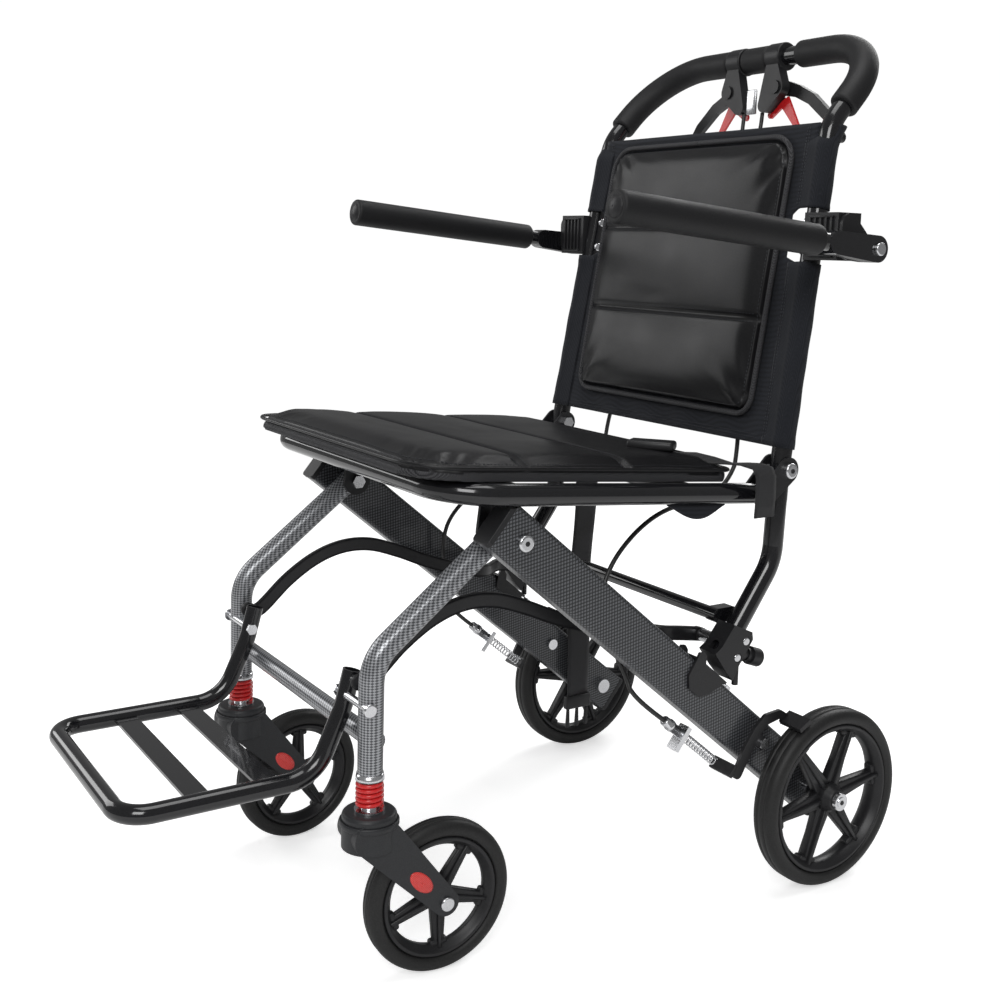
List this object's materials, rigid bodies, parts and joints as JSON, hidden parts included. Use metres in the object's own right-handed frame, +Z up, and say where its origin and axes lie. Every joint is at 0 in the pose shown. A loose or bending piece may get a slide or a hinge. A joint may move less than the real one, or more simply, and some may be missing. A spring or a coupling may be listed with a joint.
{
  "type": "manual wheelchair",
  "caption": "Light folding transit wheelchair with a padded seat and back, small wheels, swivelling casters, flip-up armrests and hand brakes.",
  "frame": {"origin": "on the floor under the middle of the object's bounding box", "axes": "+X to the sitter's left, +Y to the back, +Z up; sitter faces -Y"},
  "size_m": [0.552, 0.86, 0.9545],
  "materials": {
    "black_plastic": "satin",
    "cable_sheath": "satin",
    "carbon_print": "gloss print",
    "cover_fabric": "matt",
    "foam": "matt",
    "fork_plastic": "satin",
    "frame_black": "gloss",
    "leatherette": "satin",
    "red_plastic": "gloss",
    "rim_plastic": "matt",
    "silver_carbon": "gloss print",
    "spring_red": "gloss",
    "tyre": "matt",
    "webbing": "ribbed",
    "zinc": "polished"
  },
  "bodies": {
    "seat_frame": {"seat_tube": "frame_black", "seat_cross_bars": "frame_black", "seat_brackets": "frame_black", "seat_cushion": "leatherette", "seat_bolts": "zinc", "belt_strap_left": "webbing", "belt_strap_right": "webbing", "belt_buckles": "black_plastic"},
    "back_frame": {"back_tubes": "frame_black", "handle_bar": "frame_black", "handle_foam": "foam", "back_cover": "cover_fabric", "back_pad": "leatherette", "armrest_brackets": "black_plastic", "back_bolts": "zinc", "rear_crossbar": "frame_black", "latch_brackets": "frame_black", "brake_clamps": "black_plastic", "brake_cables_upper": "cable_sheath"},
    "beams": {"side_beams": "carbon_print", "beam_caps": "black_plastic", "latch_saddles": "black_plastic", "beam_bolts": "zinc", "cable_stops": "zinc", "brake_springs": "zinc", "brake_cables_lower": "cable_sheath"},
    "front_frame": {"front_legs": "silver_carbon", "front_cross_tube": "silver_carbon", "footrest_bolts": "zinc", "stem_collars": "zinc", "caster_springs": "spring_red"},
    "footrest": {"footrest_tube": "frame_black", "footrest_slats": "silver_carbon"},
    "link_bars": {"links": "frame_black"},
    "plunger_left": {"latch_plunger_left": "black_plastic"},
    "lever_left": {"brake_lever_left": "black_plastic"},
    "lock_left": {"brake_lock_left": "red_plastic"},
    "arm_left": {"brake_arm_left": "frame_black"},
    "rear_wheel_left": {"rear_rim_left": "rim_plastic", "rear_tyre_left": "tyre"},
    "stem_left": {"caster_stem_left": "zinc"},
    "fork_left": {"caster_fork_left": "fork_plastic", "caster_axle_left": "zinc"},
    "caster_wheel_left": {"caster_rim_left": "rim_plastic", "caster_tyre_left": "tyre"},
    "armrest_left": {"armrest_tube_left": "frame_black", "armrest_foam_left": "foam"},
    "plunger_right": {"latch_plunger_right": "black_plastic"},
    "lever_right": {"brake_lever_right": "black_plastic"},
    "lock_right": {"brake_lock_right": "red_plastic"},
    "arm_right": {"brake_arm_right": "frame_black"},
    "rear_wheel_right": {"rear_rim_right": "rim_plastic", "rear_tyre_right": "tyre"},
    "stem_right": {"caster_stem_right": "zinc"},
    "fork_right": {"caster_fork_right": "fork_plastic", "caster_axle_right": "zinc"},
    "caster_wheel_right": {"caster_rim_right": "rim_plastic", "caster_tyre_right": "tyre"},
    "armrest_right": {"armrest_tube_right": "frame_black", "armrest_foam_right": "foam"}
  },
  "joints": [
    {"name": "back_fold", "type": "hinge", "parent": "seat_frame", "child": "back_frame", "pos_m": [0, 0.263, 0.47], "axis": [1, 0, 0], "range_deg": [0, 72], "deforming": ["belt_strap_left", "belt_strap_right", "belt_buckles", "brake_cables_lower"]},
    {"name": "beam_fold", "type": "hinge", "parent": "seat_frame", "child": "beams", "pos_m": [0, -0.068, 0.423], "axis": [1, 0, 0], "range_deg": [0, 23.9]},
    {"name": "leg_fold", "type": "hinge", "parent": "seat_frame", "child": "front_frame", "pos_m": [0, -0.068, 0.423], "axis": [1, 0, 0], "range_deg": [0, 68.69]},
    {"name": "footrest_fold", "type": "hinge", "parent": "front_frame", "child": "footrest", "pos_m": [0, -0.211, 0.275], "axis": [1, 0, 0], "range_deg": [-100.1, 0]},
    {"name": "link_fold", "type": "hinge", "parent": "back_frame", "child": "link_bars", "pos_m": [0, 0.193, 0.287], "axis": [1, 0, 0], "range_deg": [-56.91, 0]},
    {"name": "rear_wheel_spin_left", "type": "hinge", "parent": "beams", "child": "rear_wheel_left", "pos_m": [0.234, 0.33, 0.1], "axis": [1, 0, 0], "continuous": true},
    {"name": "caster_travel_left", "type": "slide", "parent": "front_frame", "child": "stem_left", "axis": [0, 0, 1], "range_m": [0, 0.01], "stiffness_N_per_m": 15000, "springref_m": -0.004, "deforming": ["caster_springs"]},
    {"name": "caster_swivel_left", "type": "hinge", "parent": "stem_left", "child": "fork_left", "pos_m": [0.16, -0.203, 0.17], "axis": [0, 0, 1], "continuous": true},
    {"name": "caster_spin_left", "type": "hinge", "parent": "fork_left", "child": "caster_wheel_left", "pos_m": [0.16502, -0.13118, 0.075], "axis": [0.9976, -0.0698, 0], "continuous": true},
    {"name": "armrest_flip_left", "type": "hinge", "parent": "back_frame", "child": "armrest_left", "pos_m": [0.26, 0.322, 0.707], "axis": [-1, 0, 0], "range_deg": [0, 95]},
    {"name": "lever_pull_left", "type": "hinge", "parent": "back_frame", "child": "lever_left", "pos_m": [0.03, 0.415, 0.90048], "axis": [0, -1, 0], "range_deg": [0, 15], "stiffness_Nm_per_rad": 1, "springref_deg": -8.59},
    {"name": "lock_swing_left", "type": "hinge", "parent": "back_frame", "child": "lock_left", "pos_m": [0.031, 0.413, 0.88748], "axis": [0, -1, 0], "range_deg": [0, 15]},
    {"name": "brake_press_left", "type": "hinge", "parent": "beams", "child": "arm_left", "pos_m": [0.21, 0.24399, 0.17109], "axis": [-1, 0, 0], "range_deg": [0, 5], "deforming": ["brake_springs"]},
    {"name": "latch_pull_left", "type": "slide", "parent": "back_frame", "child": "plunger_left", "axis": [0, 0.9397, -0.342], "range_m": [0, 0.008], "stiffness_N_per_m": 1000, "springref_m": -0.004},
    {"name": "rear_wheel_spin_right", "type": "hinge", "parent": "beams", "child": "rear_wheel_right", "pos_m": [-0.234, 0.33, 0.1], "axis": [1, 0, 0], "continuous": true},
    {"name": "caster_travel_right", "type": "slide", "parent": "front_frame", "child": "stem_right", "axis": [0, 0, 1], "range_m": [0, 0.01], "stiffness_N_per_m": 15000, "springref_m": -0.004, "deforming": ["caster_springs"]},
    {"name": "caster_swivel_right", "type": "hinge", "parent": "stem_right", "child": "fork_right", "pos_m": [-0.16, -0.203, 0.17], "axis": [0, 0, 1], "continuous": true},
    {"name": "caster_spin_right", "type": "hinge", "parent": "fork_right", "child": "caster_wheel_right", "pos_m": [-0.16502, -0.13118, 0.075], "axis": [-0.9976, -0.0698, 0], "continuous": true},
    {"name": "armrest_flip_right", "type": "hinge", "parent": "back_frame", "child": "armrest_right", "pos_m": [-0.26, 0.322, 0.707], "axis": [-1, 0, 0], "range_deg": [0, 95]},
    {"name": "lever_pull_right", "type": "hinge", "parent": "back_frame", "child": "lever_right", "pos_m": [-0.052, 0.415, 0.90048], "axis": [0, 1, 0], "range_deg": [0, 15], "stiffness_Nm_per_rad": 1, "springref_deg": -8.59},
    {"name": "lock_swing_right", "type": "hinge", "parent": "back_frame", "child": "lock_right", "pos_m": [-0.053, 0.413, 0.88748], "axis": [0, 1, 0], "range_deg": [0, 15]},
    {"name": "brake_press_right", "type": "hinge", "parent": "beams", "child": "arm_right", "pos_m": [-0.21, 0.24399, 0.17109], "axis": [-1, 0, 0], "range_deg": [0, 5], "deforming": ["brake_springs"]},
    {"name": "latch_pull_right", "type": "slide", "parent": "back_frame", "child": "plunger_right", "axis": [0, 0.9397, -0.342], "range_m": [0, 0.008], "stiffness_N_per_m": 1000, "springref_m": -0.004}
  ],
  "couplings": [
    {"joint": "beam_fold", "follows": "back_fold", "ratio": 0.33056},
    {"joint": "leg_fold", "follows": "back_fold", "ratio": 0.95264},
    {"joint": "footrest_fold", "follows": "back_fold", "ratio": -1.3889},
    {"joint": "link_fold", "follows": "back_fold", "ratio": -0.78903},
    {"joint": "brake_press_left", "follows": "lever_pull_left", "ratio": 0.25},
    {"joint": "brake_press_right", "follows": "lever_pull_right", "ratio": 0.25}
  ]
}
